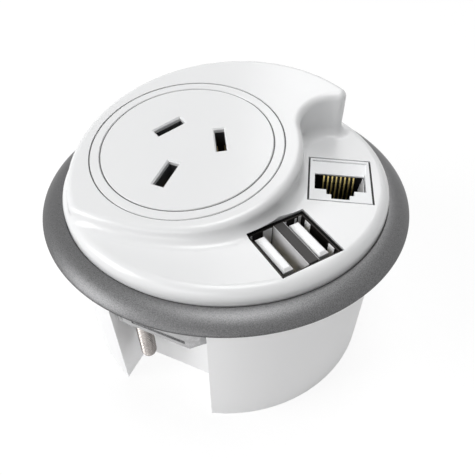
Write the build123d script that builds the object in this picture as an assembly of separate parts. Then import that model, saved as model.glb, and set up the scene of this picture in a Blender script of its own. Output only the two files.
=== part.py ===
from build123d import *
import math
import os

# In-desk power module for an 80 mm round desk hole, in millimetres.
# The origin is the centre of the bezel's underside, on the desk surface. +Z is up,
# +Y is the high side of the raised platform and -Y the side with the front clamp.

# Desk hole, housing and bezel
desk_hole_diameter = 80.0
desk_hole_clearance = 0.05
housing_depth = 42.1
housing_wall = 2.2
collar_height = 5.0
collar_relief = 0.1
bezel_overhang = 5.0
bezel_height = 2.9
bezel_edge_height = 0.55
bezel_edge_chamfer = 0.3
bezel_lip_width = 2.6
bezel_lip_thickness = 1.2
bezel_seal_gap = 0.55
bezel_seal_width = 0.7
bezel_seal_depth = 0.4
fit_gap = 0.1

# Top cover
cover_inset = 0.45
cover_wall = 2.2
skirt_wall = 2.0
deck_height = 6.55
shoulder_radius = 2.6

# Raised platform of the cover
platform_tilt = 9.27
platform_centre = (1.6, -3.3)
platform_radius = 36.85
lobe_centre = (-7.3, -2.95)
lobe_radius = 26.1
pocket_radius = 9.3
pocket_azimuth = 32.0
sweep_radius = 55.0
sweep_azimuth = -70.0
tip_radius = 2.2
heel_radius = 5.0
top_edge_radius = 1.8
foot_radius = 2.8

# Socket outlet: the slot places follow the three-pin flat-blade standard
socket_centre = (-8.5, -3.7, 13.4)
trim_ring_outer_radius = 22.95
trim_ring_width = 2.5
trim_ring_thickness = 1.6
groove_gap = 0.3
seat_thickness = 1.6
seat_margin = 1.45
face_edge = 1.65
face_thickness = 4.0
socket_base_radius = 17.5
socket_base_depth = 24.0
socket_flange_radius = 21.5
socket_flange_thickness = 2.0
line_pin_offset = (6.86, 3.96)
earth_pin_offset = 10.31
slot_length = 7.5
slot_width = 2.4
earth_slot_width = 2.7
slot_chamfer = 0.35
blade_thickness = 1.6
contact_width = 6.6
contact_leaf = 0.6
contact_length = 13.0
terminal_size = 6.4
terminal_height = 5.4
terminal_bore_radius = 1.4
terminal_screw_radius = 1.7
pocket_clearance = 0.3
socket_screw_offset = (11.5, -8.0)
socket_screw_seat = 4.0
socket_screw_bite = 2.6
screw_radius = 1.5
screw_head_radius = 2.8
screw_head_height = 1.8
screw_clearance = 0.15

# Data jack
jack_centre = (26.7, 6.6)
jack_turn = 16.5
jack_width = 14.5
jack_height = 16.0
jack_front_depth = 1.2
jack_shell_depth = 12.0
jack_shell_wall = 0.8
jack_depth = 20.0
jack_flange = 0.9
jack_flange_thickness = 1.2
jack_opening = (11.9, 6.9)
jack_opening_offset = -0.65
latch_steps = ((6.4, 1.7), (4.2, 3.2))
jack_cavity_depth = 10.5
jack_shelf_width = 13.2
jack_shelf_height = 4.4
jack_shelf_depth = (0.3, 0.8)
jack_contact_count = 8
jack_contact_pitch = 1.02
jack_contact_width = 0.45
jack_contact_thickness = 0.7
jack_block_depth = 7.0
jack_block_inset = 1.2
panel_gap = 0.35

# Twin charging port
usb_centre = (23.4, -17.5)
usb_turn = 54.4
usb_width = 14.6
usb_length = 13.9
usb_depth = 14.0
usb_wall = 0.4
usb_web = 2.6
usb_web_offset = 0.6
usb_recess = 0.4
usb_web_recess = 0.45
tongue_offsets = (-4.9, 4.1)
tongue_thickness = 2.5
tongue_length = 10.8
tongue_top = 0.8
tongue_chamfer = 0.6
usb_contact_count = 4
usb_contact_pitch = 2.4
usb_contact_width = 1.2
usb_contact_thickness = 0.25
usb_carrier_depth = 3.0
spring_tab_width = 1.9
spring_tab_length = 4.5
spring_tab_thickness = 0.3

# Retainer under the deck, and the charger board that hangs from it
retainer_thickness = 1.3
retainer_margin = 3.2
retainer_screw_places = ((27.8, -5.6), (23.2, 19.0), (16.4, -27.2))
boss_radius = 2.6
board_thickness = 1.6
board_radius = 36.6
board_width = 21.0
board_length = 24.0
board_post_offset = 10.0
board_shift = 2.5
board_screw_radius = 1.05
board_screw_head_radius = 2.0
board_screw_head_height = 1.4
board_screw_bite = 4.0
transformer_size = (12.0, 10.0, 9.0)
transformer_place = (1.5, -1.5)
transformer_limb = 2.5
transformer_yoke = 2.0
bobbin_overhang = 1.0
capacitor_radius = 2.8
capacitor_height = 8.0
capacitor_spacing = 6.4
capacitor_offset = 8.0

# Housing, base plate and fasteners
notch_depth = 11.95
notch_wall = 2.0
base_plate_thickness = 2.5
boss_inset = 4.25
cover_boss_radius = 3.2
cover_boss_height = 10.0
cover_screw_azimuths = (55.0, 145.0, 235.0)
base_boss_height = 8.0
base_screw_azimuths = (30.0, 150.0, 210.0, 330.0)
rib_width = 2.4
cord_entry_centre = (-21.0, 4.0)
cord_entry_radius = 5.5
grommet_wall = 1.5
grommet_flange = 1.6
grommet_rim_thickness = 1.2
cord_clamp_offset = 12.0
cord_clamp_length = 22.0
cord_clamp_width = 6.0
cord_clamp_height = 3.0
cord_clamp_arch_radius = 3.4

# Clamps: one at the front, its twin half a turn away at the rear
clamp_pivot_offset = -7.4
clamp_screw_distance = 5.2
clamp_screw_radius = 2.0
clamp_screw_end = 32.4
clamp_head_radius = 3.4
clamp_head_height = 2.3
clamp_head_sink = 0.1
clamp_drive_radius = 1.5
clamp_drive_depth = 1.3
running_gap = 0.08
clamp_washer_radius = 3.8
clamp_washer_thickness = 0.7
arm_top = 7.6
arm_height = 7.0
arm_half_width = 4.9
arm_reach = 18.6
arm_end_gap = 1.4
arm_end_chamfer = 2.8
arm_edge_radius = 0.5
arm_tooth_count = 4
arm_tooth_pitch = 2.2
arm_tooth_depth = 0.8
nut_radius = 3.6
nut_pocket_depth = 3.0
nut_plate_thickness = 2.2
nut_plate_reach = 4.4
guide_gap = 0.3

housing_radius = desk_hole_diameter / 2 - desk_hole_clearance
boss_circle_radius = housing_radius - housing_wall - boss_inset
bezel_radius = desk_hole_diameter / 2 + bezel_overhang
cover_radius = housing_radius - cover_inset
bezel_bore_radius = cover_radius + fit_gap
bezel_lip_inner_radius = bezel_bore_radius - bezel_lip_width
skirt_inner_radius = cover_radius - skirt_wall
trim_ring_inner_radius = trim_ring_outer_radius - trim_ring_width
seat_radius = trim_ring_outer_radius + seat_margin
socket_neck_radius = trim_ring_inner_radius - face_edge
notch_depth_y = housing_radius - notch_depth
notch_half_width = clamp_pivot_offset + arm_reach + arm_end_gap
clamp_pivot = (clamp_pivot_offset, -notch_depth_y - clamp_screw_distance)
jack_top = jack_opening_offset + jack_opening[1] / 2
jack_low = jack_opening_offset - jack_opening[1] / 2
retainer_top = deck_height - cover_wall - jack_flange_thickness
board_top = deck_height - usb_recess - usb_depth - usb_carrier_depth
base_plate_top = -housing_depth + base_plate_thickness
tall = desk_hole_diameter


def polar(radius, azimuth):
    turn = math.radians(azimuth)
    return (radius * math.cos(turn), radius * math.sin(turn))


def socket_frame(x=0.0, y=0.0, z=0.0):
    """A place on the tilted platform, measured from the socket's centre."""
    turn = math.radians(platform_tilt)
    plane = Plane(socket_centre, x_dir=(1, 0, 0), z_dir=(0, -math.sin(turn), math.cos(turn)))
    return plane.location * Pos(x, y, z)


def jack_frame(x=0.0, y=0.0, z=0.0):
    """A place on the deck at the data jack: x across the jack, y toward its contact side."""
    return Pos(*jack_centre, deck_height) * Rot(0, 0, jack_turn) * Pos(x, y, z)


def usb_frame(x=0.0, y=0.0, z=0.0):
    """A place on the deck at the charging port: x across the two ports, y along them."""
    return Pos(*usb_centre, deck_height) * Rot(0, 0, usb_turn) * Pos(x, y, z)


def column(radius, low, high, x=0.0, y=0.0):
    return Pos(x, y, (low + high) / 2) * Cylinder(radius, high - low)


def block(length, width, low, high, x=0.0, y=0.0):
    return Pos(x, y, (low + high) / 2) * Box(length, width, high - low)


def ring(outer, inner, low, high, x=0.0, y=0.0):
    return column(outer, low, high, x, y) - column(inner, low, high, x, y)


def pan_screw(low, high, radius=screw_radius, head=screw_head_radius, height=screw_head_height):
    """A pan-head screw that points up, with its head below `low`."""
    screw = column(radius, low, high) + column(head, low - height, low)
    recess = column(radius * 0.6, low - height, low - height / 2)
    return screw - recess


def platform_plan(inset):
    """Outline of the raised platform: a disc cut by the sweep, the lobe and the pocket."""
    lobe_r = lobe_radius - inset
    pocket_r = pocket_radius + inset
    lobe = Vector(*lobe_centre)
    pocket = lobe + Vector(*polar(lobe_radius + pocket_radius, pocket_azimuth))
    start = lobe + Vector(*polar(lobe_r, sweep_azimuth))
    sweep_r = sweep_radius - inset
    sweep = start + Vector(*polar(sweep_r, sweep_azimuth + 180))
    sweep_arc = CenterArc(sweep, sweep_r, sweep_azimuth, -55)
    lobe_arc = CenterArc(lobe, lobe_r, sweep_azimuth, pocket_azimuth - sweep_azimuth)
    pocket_arc = CenterArc(pocket, pocket_r, pocket_azimuth + 180, -160)
    first = sweep_arc @ 1
    last = pocket_arc @ 1
    closing = Polyline(last, (tall, last.Y), (tall, -tall), (first.X, -tall), first)
    cut = make_face(Wire([sweep_arc, lobe_arc, pocket_arc] + closing.edges()))
    return Pos(*platform_centre) * Circle(platform_radius - inset) - cut


def platform_solid(inset, bottom):
    """The platform as a prism, cut by its tilted top plane."""
    plan = platform_plan(inset)
    if inset == 0:
        plan = fillet(plan.vertices().sort_by(Axis.X)[-1], tip_radius)
        heel = plan.vertices().sort_by(lambda v: v.X + v.Y)[0]
        plan = fillet(heel, heel_radius)
    prism = extrude(Plane.XY.offset(bottom) * plan, tall)
    top = Plane(socket_frame(0, 0, -inset))
    return split(prism, bisect_by=top, keep=Keep.BOTTOM)


def cover_outside():
    """The cover's outer form: rim, shoulder, deck and platform with rounded edges."""
    base = column(cover_radius, bezel_lip_thickness, deck_height)
    base = fillet(base.edges().sort_by(Axis.Z)[-1], shoulder_radius)
    solid = base + platform_solid(0, deck_height - shoulder_radius - 1)
    up = Plane(socket_frame()).z_dir
    top = [f for f in solid.faces() if abs(f.normal_at().dot(up) - 1) < 1e-6][0]
    solid = fillet(top.outer_wire().edges(), top_edge_radius)
    foot = []
    for wall in solid.faces():
        box = wall.bounding_box()
        upright = abs(wall.normal_at().Z) < 1e-3
        if upright and box.max.Z > deck_height + 1 and box.min.Z > bezel_height + 0.1:
            foot += [e for e in wall.edges() if e.bounding_box().max.Z <= deck_height + 0.02]
    return fillet(foot, foot_radius)


def retainer_boss(place):
    return column(boss_radius, retainer_top, deck_height - cover_wall / 2, *place)


def make_top_cover():
    """Thin-walled cover with a stepped seat for the socket and two port windows."""
    cover = cover_outside()
    cover -= column(skirt_inner_radius, 0, deck_height - cover_wall)
    cover -= platform_solid(cover_wall, deck_height - cover_wall - 1)
    seat = trim_ring_thickness + seat_thickness
    cover += socket_frame(0, 0, -seat) * column(seat_radius, 0, seat / 2)
    for azimuth in cover_screw_azimuths:
        cover += column(cover_boss_radius, 0, deck_height - cover_wall / 2, *polar(boss_circle_radius, azimuth))
    for place in retainer_screw_places:
        cover += retainer_boss(place)
    for azimuth in cover_screw_azimuths:
        cover -= column(screw_radius + 0.05, -1, deck_height - cover_wall, *polar(boss_circle_radius, azimuth))
    for place in retainer_screw_places:
        cover -= column(screw_radius + 0.05, 0, deck_height - cover_wall / 2 - 0.3, *place)
    seat_bore = column(trim_ring_outer_radius + groove_gap, -trim_ring_thickness, 5)
    cover -= socket_frame() * seat_bore
    cover -= socket_frame() * column(socket_neck_radius + fit_gap, -seat - 1, 0)
    gap = 2 * panel_gap
    cover -= jack_frame() * block(jack_width + gap, jack_height + gap, -deck_height - 1, 1)
    cover -= usb_frame() * block(usb_width + gap, usb_length + gap, -deck_height - 1, 0.6)
    return cover


def make_bezel_ring():
    """Domed trim ring with an inner lip that the cover and the housing close on."""
    outer = bezel_radius
    sag = (bezel_height - bezel_edge_height) * 0.22
    rise = ThreePointArc(
        (outer, bezel_edge_height),
        ((outer + bezel_bore_radius) / 2, bezel_height - sag),
        (bezel_bore_radius, bezel_height),
    )
    seal = housing_radius + bezel_seal_gap
    inside = Polyline(
        (bezel_bore_radius, bezel_height),
        (bezel_bore_radius, bezel_lip_thickness),
        (bezel_lip_inner_radius, bezel_lip_thickness),
        (bezel_lip_inner_radius, 0),
        (seal, 0),
        (seal, bezel_seal_depth),
        (seal + bezel_seal_width, bezel_seal_depth),
        (seal + bezel_seal_width, 0),
        (outer - bezel_edge_chamfer, 0),
        (outer, bezel_edge_chamfer),
        (outer, bezel_edge_height),
    )
    return revolve(Plane.XZ * make_face(Wire([rise] + inside.edges())), Axis.Z)


def make_socket_trim_ring():
    trim = ring(trim_ring_outer_radius, trim_ring_inner_radius + groove_gap, -trim_ring_thickness, 0)
    trim = chamfer(trim.edges().group_by(Axis.Z)[-1], 0.15)
    return socket_frame() * trim


def pin_frames():
    """Places of the active, neutral and earth pins: x across the blade, y along it."""
    x, y = line_pin_offset
    lean = math.degrees(math.atan2(y, x))
    return (
        socket_frame(-x, y) * Rot(0, 0, -lean),
        socket_frame(x, y) * Rot(0, 0, lean),
        socket_frame(0, -earth_pin_offset),
    )


def make_socket_face():
    """Face disc with a neck below it and three chamfered slots."""
    face = column(trim_ring_inner_radius, -trim_ring_thickness, 0)
    face = chamfer(face.edges().group_by(Axis.Z)[-1], 0.15)
    face += column(socket_neck_radius, -face_thickness, -trim_ring_thickness)
    x, y = socket_screw_offset
    for side in (-x, x):
        pilot = -face_thickness + socket_screw_bite
        face -= column(screw_radius + 0.05, -face_thickness, pilot, side, y)
    face = socket_frame() * face
    for frame, width in zip(pin_frames(), (slot_width, slot_width, earth_slot_width)):
        slot = block(width, slot_length, -face_thickness - 1, 1)
        mouth = Rectangle(width + 2 * slot_chamfer, slot_length + 2 * slot_chamfer)
        flare = loft([mouth, Pos(0, 0, -slot_chamfer) * Rectangle(width, slot_length)])
        face -= frame * slot
        face -= frame * flare
    return face


def make_contact(frame):
    """Female contact: two spring leaves on a web, over a brass terminal block."""
    gap = blade_thickness / 2
    top = -face_thickness - 1.0
    low = top - contact_length
    contact = block(2 * (gap + contact_leaf), contact_width, low, low + contact_leaf)
    for side in (-1, 1):
        middle = side * (gap + contact_leaf / 2)
        contact += block(contact_leaf, contact_width, low, top, middle)
    terminal = block(terminal_size, terminal_size, low - terminal_height, low)
    terminal -= Pos(0, 0, low - terminal_height / 2) * Rot(90, 0, 0) * Cylinder(
        terminal_bore_radius, terminal_size
    )
    terminal -= column(terminal_screw_radius + 0.05, low - terminal_height, low - terminal_height / 2)
    return frame * (contact + terminal)


def make_terminal_screws():
    low = -face_thickness - 1.0 - contact_length - terminal_height
    screw = column(terminal_screw_radius, low - 0.6, low + terminal_height / 2 - 0.3)
    screw -= block(2 * terminal_screw_radius, 0.7, low - 0.6, low)
    return [frame * screw for frame in pin_frames()]


def make_socket_base():
    """Moulded contact carrier with a flange under the cover's seat."""
    seat = trim_ring_thickness + seat_thickness
    flange_low = -seat - socket_flange_thickness
    base = column(socket_base_radius, -socket_base_depth, flange_low)
    base += column(socket_flange_radius, flange_low, -seat)
    base -= column(socket_neck_radius + fit_gap, -face_thickness, -seat)
    x, y = socket_screw_offset
    for side in (-x, x):
        base -= column(screw_radius + screw_clearance, -socket_base_depth, -face_thickness, side, y)
        base -= column(
            screw_head_radius + screw_clearance,
            -socket_base_depth,
            flange_low - socket_screw_seat,
            side,
            y,
        )
    base = socket_frame() * base
    gap = 2 * pocket_clearance
    leaf_box = blade_thickness + 2 * contact_leaf + gap
    low = -face_thickness - 1.0 - contact_length
    for frame in pin_frames():
        base -= frame * block(leaf_box, contact_width + gap, low, -face_thickness + 0.1)
        base -= frame * block(terminal_size + gap, terminal_size + gap, -tall / 2, low)
    return base


def make_socket_screws():
    seat = trim_ring_thickness + seat_thickness
    low = -seat - socket_flange_thickness - socket_screw_seat
    x, y = socket_screw_offset
    screw = pan_screw(low, -face_thickness + socket_screw_bite - fit_gap)
    return [socket_frame(side, y) * screw for side in (-x, x)]


def jack_opening_faces(grow=0.0):
    """Outline of the plug opening: the main window and the stepped latch notch."""
    width, height = jack_opening
    low = jack_opening_offset - height / 2
    outline = Pos(0, jack_opening_offset) * Rectangle(width + grow, height + grow)
    for step_width, step_depth in latch_steps:
        outline += Pos(0, low - step_depth / 2) * Rectangle(step_width + grow, step_depth + grow)
    return outline


def make_jack_housing():
    """White snap-in front: frame, sloped shelf, plug opening and a flange below the deck."""
    depth = jack_shell_depth
    body = block(jack_width, jack_height, -depth, 0)
    flange = 2 * jack_flange
    body += block(
        jack_width + flange, jack_height + flange, -cover_wall - jack_flange_thickness, -cover_wall
    )
    wall = 2 * jack_shell_wall
    body -= block(jack_width - wall, jack_height - wall, -depth, -jack_front_depth)
    body -= extrude(jack_opening_faces(), -jack_front_depth)
    slope = Polyline(
        (jack_top + jack_shelf_height, jack_front_depth),
        (jack_top + jack_shelf_height, -jack_shelf_depth[0]),
        (jack_top, -jack_shelf_depth[1]),
        (jack_top, jack_front_depth),
        close=True,
    )
    body -= extrude(Plane.YZ * make_face(slope), jack_shelf_width / 2, both=True)
    body = jack_frame() * body
    return body & column(skirt_inner_radius - fit_gap, -tall, tall)


def make_jack_insert():
    """Black insert behind the front, with the plug cavity."""
    wall = 2 * (jack_shell_wall + fit_gap)
    insert = block(jack_width - wall, jack_height - wall, -jack_depth, -jack_front_depth)
    cavity = extrude(jack_opening_faces(0.2), -jack_cavity_depth)
    return jack_frame() * (insert - Pos(0, 0, -jack_front_depth) * cavity)


def make_jack_contacts():
    """Gold wires that slope across the cavity."""
    thick = jack_contact_thickness
    low = jack_low + thick
    near = -jack_front_depth - fit_gap
    far = -jack_front_depth - jack_cavity_depth
    strip = Polyline(
        (jack_top, near), (low, far), (low + thick / 2, far), (jack_top, near - thick), close=True
    )
    wire = extrude(Plane.YZ * make_face(strip), jack_contact_width / 2, both=True)
    middle = (jack_contact_count - 1) / 2
    return [jack_frame((n - middle) * jack_contact_pitch) * wire for n in range(jack_contact_count)]


def make_jack_terminal_block():
    """Punch-down block on the jack's back, with a row of wire slots on each side."""
    inset = 2 * jack_block_inset
    low = -jack_depth - jack_block_depth
    body = block(jack_width - inset, jack_height - inset, low, -jack_depth)
    half = (jack_height - inset) / 2
    for n in range(4):
        for side in (-1, 1):
            place = ((n - 1.5) * 2.6, side * (half - 0.9))
            body -= block(0.8, 1.8, low, low + 3.0, *place)
    return jack_frame() * body


def make_usb_shell():
    """Folded metal shell round both ports, with spring tabs on its outer wall."""
    top = -usb_recess
    shell = block(usb_width, usb_length, top - usb_depth, top)
    shell -= block(usb_width - 2 * usb_wall, usb_length - 2 * usb_wall, top - usb_depth, top)
    inner = usb_width / 2 - usb_wall
    for side in (-1, 1):
        shell += block(
            spring_tab_thickness,
            spring_tab_width,
            top - 1.0 - spring_tab_length,
            top - 1.0,
            inner - spring_tab_thickness / 2,
            side * usb_length / 4,
        )
    return usb_frame() * shell


def make_usb_carrier():
    """Black block under the shell that carries the tongues."""
    top = -usb_recess - usb_depth
    return usb_frame() * block(usb_width, usb_length, top - usb_carrier_depth, top)


def make_usb_web():
    """Dark partition between the two ports."""
    gap = 2 * (usb_wall + fit_gap)
    low = -usb_recess - usb_depth
    return usb_frame(usb_web_offset) * block(usb_web, usb_length - gap, low, -usb_web_recess)


def make_usb_tongues():
    tongue = block(tongue_thickness, tongue_length, -usb_recess - usb_depth, -tongue_top)
    tongue = chamfer(tongue.edges().group_by(Axis.Z)[-1], tongue_chamfer)
    return [usb_frame(x) * tongue for x in tongue_offsets]


def make_usb_contacts():
    low = -usb_recess - usb_depth
    strip = block(usb_contact_thickness, usb_contact_width, low, -tongue_top - 1.5)
    middle = (usb_contact_count - 1) / 2
    side = tongue_thickness / 2 + usb_contact_thickness / 2
    strips = []
    for x in tongue_offsets:
        for n in range(usb_contact_count):
            strips.append(usb_frame(x + side, (n - middle) * usb_contact_pitch) * strip)
    return strips


def board_post_places():
    """The board hangs on two posts, on the port's side toward the middle of the drum."""
    across = board_width / 2 - boss_radius
    return ((-across, board_post_offset), (across, board_post_offset))


def make_port_retainer():
    """Plate that holds the jack and the port up against the deck's underside."""
    top = retainer_top
    low = top - retainer_thickness
    margin = 2 * retainer_margin
    high = top - deck_height
    deep = low - deck_height
    plate = jack_frame() * block(jack_width + margin, jack_height + margin, deep, high)
    plate += usb_frame() * block(usb_width + margin, usb_length + margin, deep, high)
    for place in retainer_screw_places:
        plate += column(boss_radius + 0.8, low, top, *place)
    for place in board_post_places():
        plate += usb_frame() * column(boss_radius, board_top - deck_height, high, *place)
    plate &= column(skirt_inner_radius - fit_gap, -tall, tall)
    plate -= jack_frame() * block(jack_width + fit_gap, jack_height + fit_gap, deep, high)
    plate -= usb_frame() * block(usb_width + fit_gap, usb_length + fit_gap, deep, high)
    for place in retainer_screw_places:
        plate -= column(screw_radius + screw_clearance, low, top, *place)
    for place in board_post_places():
        plate -= usb_frame() * column(
            board_screw_radius + 0.05, board_top - deck_height, deep, *place
        )
    return plate


def make_retainer_screws():
    low = retainer_top - retainer_thickness
    screw = pan_screw(low, deck_height - cover_wall / 2 - 0.5)
    return [Pos(*place) * screw for place in retainer_screw_places]


def make_charger_board():
    """Circuit board under the charging port, cut to the housing's curve."""
    top = board_top - deck_height
    board = usb_frame(0, board_shift) * block(board_width, board_length, top - board_thickness, top)
    board &= column(board_radius, -tall, tall)
    clear = notch_half_width + notch_wall + 0.6
    board -= block(2 * clear, tall, -tall, tall, 0, -notch_depth_y + notch_wall + 0.6 - tall / 2)
    for place in board_post_places():
        board -= usb_frame() * column(board_screw_radius + screw_clearance, -tall, tall, *place)
    return board


def make_board_screws():
    low = board_top - deck_height - board_thickness
    screw = pan_screw(
        low,
        low + board_thickness + board_screw_bite,
        board_screw_radius,
        board_screw_head_radius,
        board_screw_head_height,
    )
    return [usb_frame(*place) * screw for place in board_post_places()]


def make_transformer():
    """Wound transformer: a core block with a bobbin through it."""
    length, width, height = transformer_size
    top = board_top - deck_height - board_thickness
    window = length - 2 * transformer_limb
    yoke = transformer_yoke
    core = block(length, width, top - height, top)
    core -= block(window, width, top - height + yoke, top - yoke)
    gap = 2 * fit_gap
    bobbin = block(
        window - gap, width + 2 * bobbin_overhang, top - height + yoke + fit_gap, top - yoke - fit_gap
    )
    return [usb_frame(*transformer_place) * core, usb_frame(*transformer_place) * bobbin]


def make_capacitors():
    top = board_top - deck_height - board_thickness
    can = column(capacitor_radius, top - capacitor_height, top)
    can = fillet(can.edges().group_by(Axis.Z)[0], 0.5)
    half = capacitor_spacing / 2
    return [usb_frame(x, capacitor_offset) * can for x in (-half, half)]


def notch_block(half_width, back, low, high):
    """The block that a clamp notch removes, at the front; the rear one is half a turn away."""
    depth = housing_radius - back + 5
    return block(2 * half_width, depth, low, high, 0, -back - depth / 2)


def inner_boss(azimuth, radius, low, high):
    """Screw boss inside the housing, joined to the wall by a rib."""
    boss = column(radius, low, high, *polar(boss_circle_radius, azimuth))
    reach = housing_radius - housing_wall / 2 - boss_circle_radius
    middle = boss_circle_radius + reach / 2
    rib = Rot(0, 0, azimuth) * block(reach, rib_width, low, high, middle, 0)
    return boss + rib


def make_body_housing():
    """Moulded drum with a full collar at the top and two clamp notches below it."""
    drum_radius = housing_radius - collar_relief
    body = column(drum_radius, -housing_depth, 0) + column(housing_radius, -collar_height, 0)
    body -= column(housing_radius - housing_wall, -housing_depth, 0)
    for turn in (0, 180):
        solid = notch_block(
            notch_half_width + notch_wall, notch_depth_y - notch_wall, -housing_depth, 0
        )
        body += Rot(0, 0, turn) * (solid & column(drum_radius, -housing_depth, 0))
        body += column(housing_radius, -collar_height, 0) & Rot(0, 0, turn) * solid
    for azimuth in cover_screw_azimuths:
        body += inner_boss(azimuth, cover_boss_radius, -cover_boss_height, 0)
    for azimuth in base_screw_azimuths:
        body += inner_boss(
            azimuth, cover_boss_radius, base_plate_top, base_plate_top + base_boss_height
        )
    for azimuth in cover_screw_azimuths:
        body -= column(
            screw_radius + screw_clearance, -cover_boss_height, 0, *polar(boss_circle_radius, azimuth)
        )
    for azimuth in base_screw_azimuths:
        body -= column(
            screw_radius + 0.05, base_plate_top, base_plate_top + base_boss_height - 1.5,
            *polar(boss_circle_radius, azimuth),
        )
    for turn in (0, 180):
        notch = notch_block(notch_half_width, notch_depth_y, -housing_depth, -collar_height)
        bore = column(clamp_screw_radius + running_gap, -collar_height, 0, *clamp_pivot)
        sink = column(
            clamp_head_radius + running_gap, -clamp_head_height - clamp_head_sink, 0, *clamp_pivot
        )
        body -= Rot(0, 0, turn) * (notch + bore + sink)
    return body


def make_cover_screws():
    screw = pan_screw(-cover_boss_height, deck_height - cover_wall - 0.4)
    return [Pos(*polar(boss_circle_radius, azimuth)) * screw for azimuth in cover_screw_azimuths]


def make_base_plate():
    """Closing plate with the cord entry, seated on the housing's lower bosses."""
    radius = housing_radius - housing_wall - fit_gap
    plate = column(radius, -housing_depth, base_plate_top)
    for turn in (0, 180):
        plate -= Rot(0, 0, turn) * notch_block(
            notch_half_width + notch_wall + fit_gap,
            notch_depth_y - notch_wall - fit_gap,
            -housing_depth,
            base_plate_top,
        )
    plate -= column(cord_entry_radius, -housing_depth, base_plate_top, *cord_entry_centre)
    for azimuth in base_screw_azimuths:
        place = polar(boss_circle_radius, azimuth)
        plate -= column(screw_radius + screw_clearance, -housing_depth, base_plate_top, *place)
        plate -= column(
            screw_head_radius + screw_clearance, -housing_depth, -housing_depth + 1.5, *place
        )
    for place in cord_clamp_screw_places():
        plate -= column(screw_radius + 0.05, -housing_depth + 0.6, base_plate_top, *place)
    return plate


def make_base_screws():
    low = -housing_depth + 1.5
    screw = pan_screw(low, base_plate_top + base_boss_height - 2.0, height=1.4)
    return [Pos(*polar(boss_circle_radius, azimuth)) * screw for azimuth in base_screw_azimuths]


def make_cord_grommet():
    """Rubber bush that lines the cord entry in the base plate."""
    x, y = cord_entry_centre
    outer = cord_entry_radius + grommet_flange
    grommet = column(cord_entry_radius, -housing_depth, base_plate_top, x, y)
    grommet += column(outer, base_plate_top, base_plate_top + grommet_rim_thickness, x, y)
    return grommet - column(
        cord_entry_radius - grommet_wall,
        -housing_depth,
        base_plate_top + grommet_rim_thickness,
        x,
        y,
    )


def cord_clamp_screw_places():
    x, y = cord_entry_centre
    reach = cord_clamp_length / 2 - cord_clamp_width / 2
    return ((x + cord_clamp_offset, y - reach), (x + cord_clamp_offset, y + reach))


def make_cord_clamp():
    """Arched bar that presses the cord onto the base plate, with a screw at each end."""
    x, y = cord_entry_centre
    x += cord_clamp_offset
    top = base_plate_top + cord_clamp_height
    bar = block(cord_clamp_width, cord_clamp_length, base_plate_top, top, x, y)
    hump = Pos(x, y, base_plate_top) * Rot(0, 90, 0) * Cylinder(
        cord_clamp_arch_radius + 1.6, cord_clamp_width
    )
    bar += hump & block(tall, tall, base_plate_top, base_plate_top + tall, x, y)
    bar -= Pos(x, y, base_plate_top) * Rot(0, 90, 0) * Cylinder(
        cord_clamp_arch_radius, cord_clamp_width
    )
    for place in cord_clamp_screw_places():
        bar -= column(screw_radius + screw_clearance, base_plate_top, top, *place)
    return bar


def make_cord_clamp_screws():
    top = base_plate_top + cord_clamp_height
    screw = Rot(180, 0, 0) * pan_screw(-top, -(-housing_depth + 0.8))
    return [Pos(*place) * screw for place in cord_clamp_screw_places()]


def make_clamp_screw():
    """Long screw that hangs from the collar; its head sinks into a counterbore."""
    x, y = clamp_pivot
    head_top = -clamp_head_sink
    head_low = head_top - clamp_head_height
    screw = column(clamp_screw_radius, -clamp_screw_end, head_low, x, y)
    screw = chamfer(screw.edges().group_by(Axis.Z)[0], 0.5)
    screw += column(clamp_head_radius, head_low, head_top, x, y)
    drive = block(2 * clamp_drive_radius, 0.9, head_top - clamp_drive_depth, head_top, x, y)
    drive += block(0.9, 2 * clamp_drive_radius, head_top - clamp_drive_depth, head_top, x, y)
    return screw - drive


def make_clamp_washer():
    """Retaining washer pressed on the screw, just under the collar."""
    x, y = clamp_pivot
    top = -collar_height - running_gap
    return ring(clamp_washer_radius, clamp_screw_radius, top - clamp_washer_thickness, top, x, y)


def make_clamp_nut():
    """Nut whose plate is guided by the notch's corner, with a round hub inside the arm."""
    x, y = clamp_pivot
    low = -arm_top - arm_height
    left = -notch_half_width + guide_gap
    right = x + nut_plate_reach
    back = -notch_depth_y - guide_gap
    front = y - nut_plate_reach + 1.0
    plate = block(
        right - left, back - front, low - nut_plate_thickness, low, (left + right) / 2, (back + front) / 2
    )
    plate = chamfer(plate.edges().filter_by(Axis.Z), 0.6)
    nut = plate + column(nut_radius, low, low + nut_pocket_depth - fit_gap, x, y)
    return nut - column(clamp_screw_radius + running_gap, -tall, 0, x, y)


def make_clamp_arm():
    """Cast arm that swings out under the desk, with teeth on its gripping end."""
    x, y = clamp_pivot
    low = -arm_top - arm_height
    top = -arm_top
    half = arm_half_width
    arm = column(half, low, top, x, y)
    bar = block(arm_reach, 2 * half, low, top, x + arm_reach / 2, y)
    end = bar.edges().filter_by(Axis.Z).group_by(Axis.X)[-1]
    arm += chamfer(end, arm_end_chamfer)
    under = arm.faces().sort_by(Axis.Z)[0].outer_wire().edges()
    arm = fillet(under, arm_edge_radius)
    for n in range(arm_tooth_count):
        place = x + arm_reach - 2.0 - n * arm_tooth_pitch
        groove = Pos(place, y, top) * Rot(0, 45, 0) * Box(
            arm_tooth_depth * 1.4, 2 * half + 2, arm_tooth_depth * 1.4
        )
        arm -= groove
    arm -= column(nut_radius + running_gap, low, low + nut_pocket_depth, x, y)
    return arm - column(clamp_screw_radius + running_gap + 0.2, low, top, x, y)


def write(name, shape):
    solids = shape if isinstance(shape, list) else [shape]
    solids = [s for item in solids for s in item.solids()]
    body = solids[0] if len(solids) == 1 else Compound(children=solids)
    body.label = name
    export_step(body, f"parts/{name}.step")


os.makedirs("parts", exist_ok=True)

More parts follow.
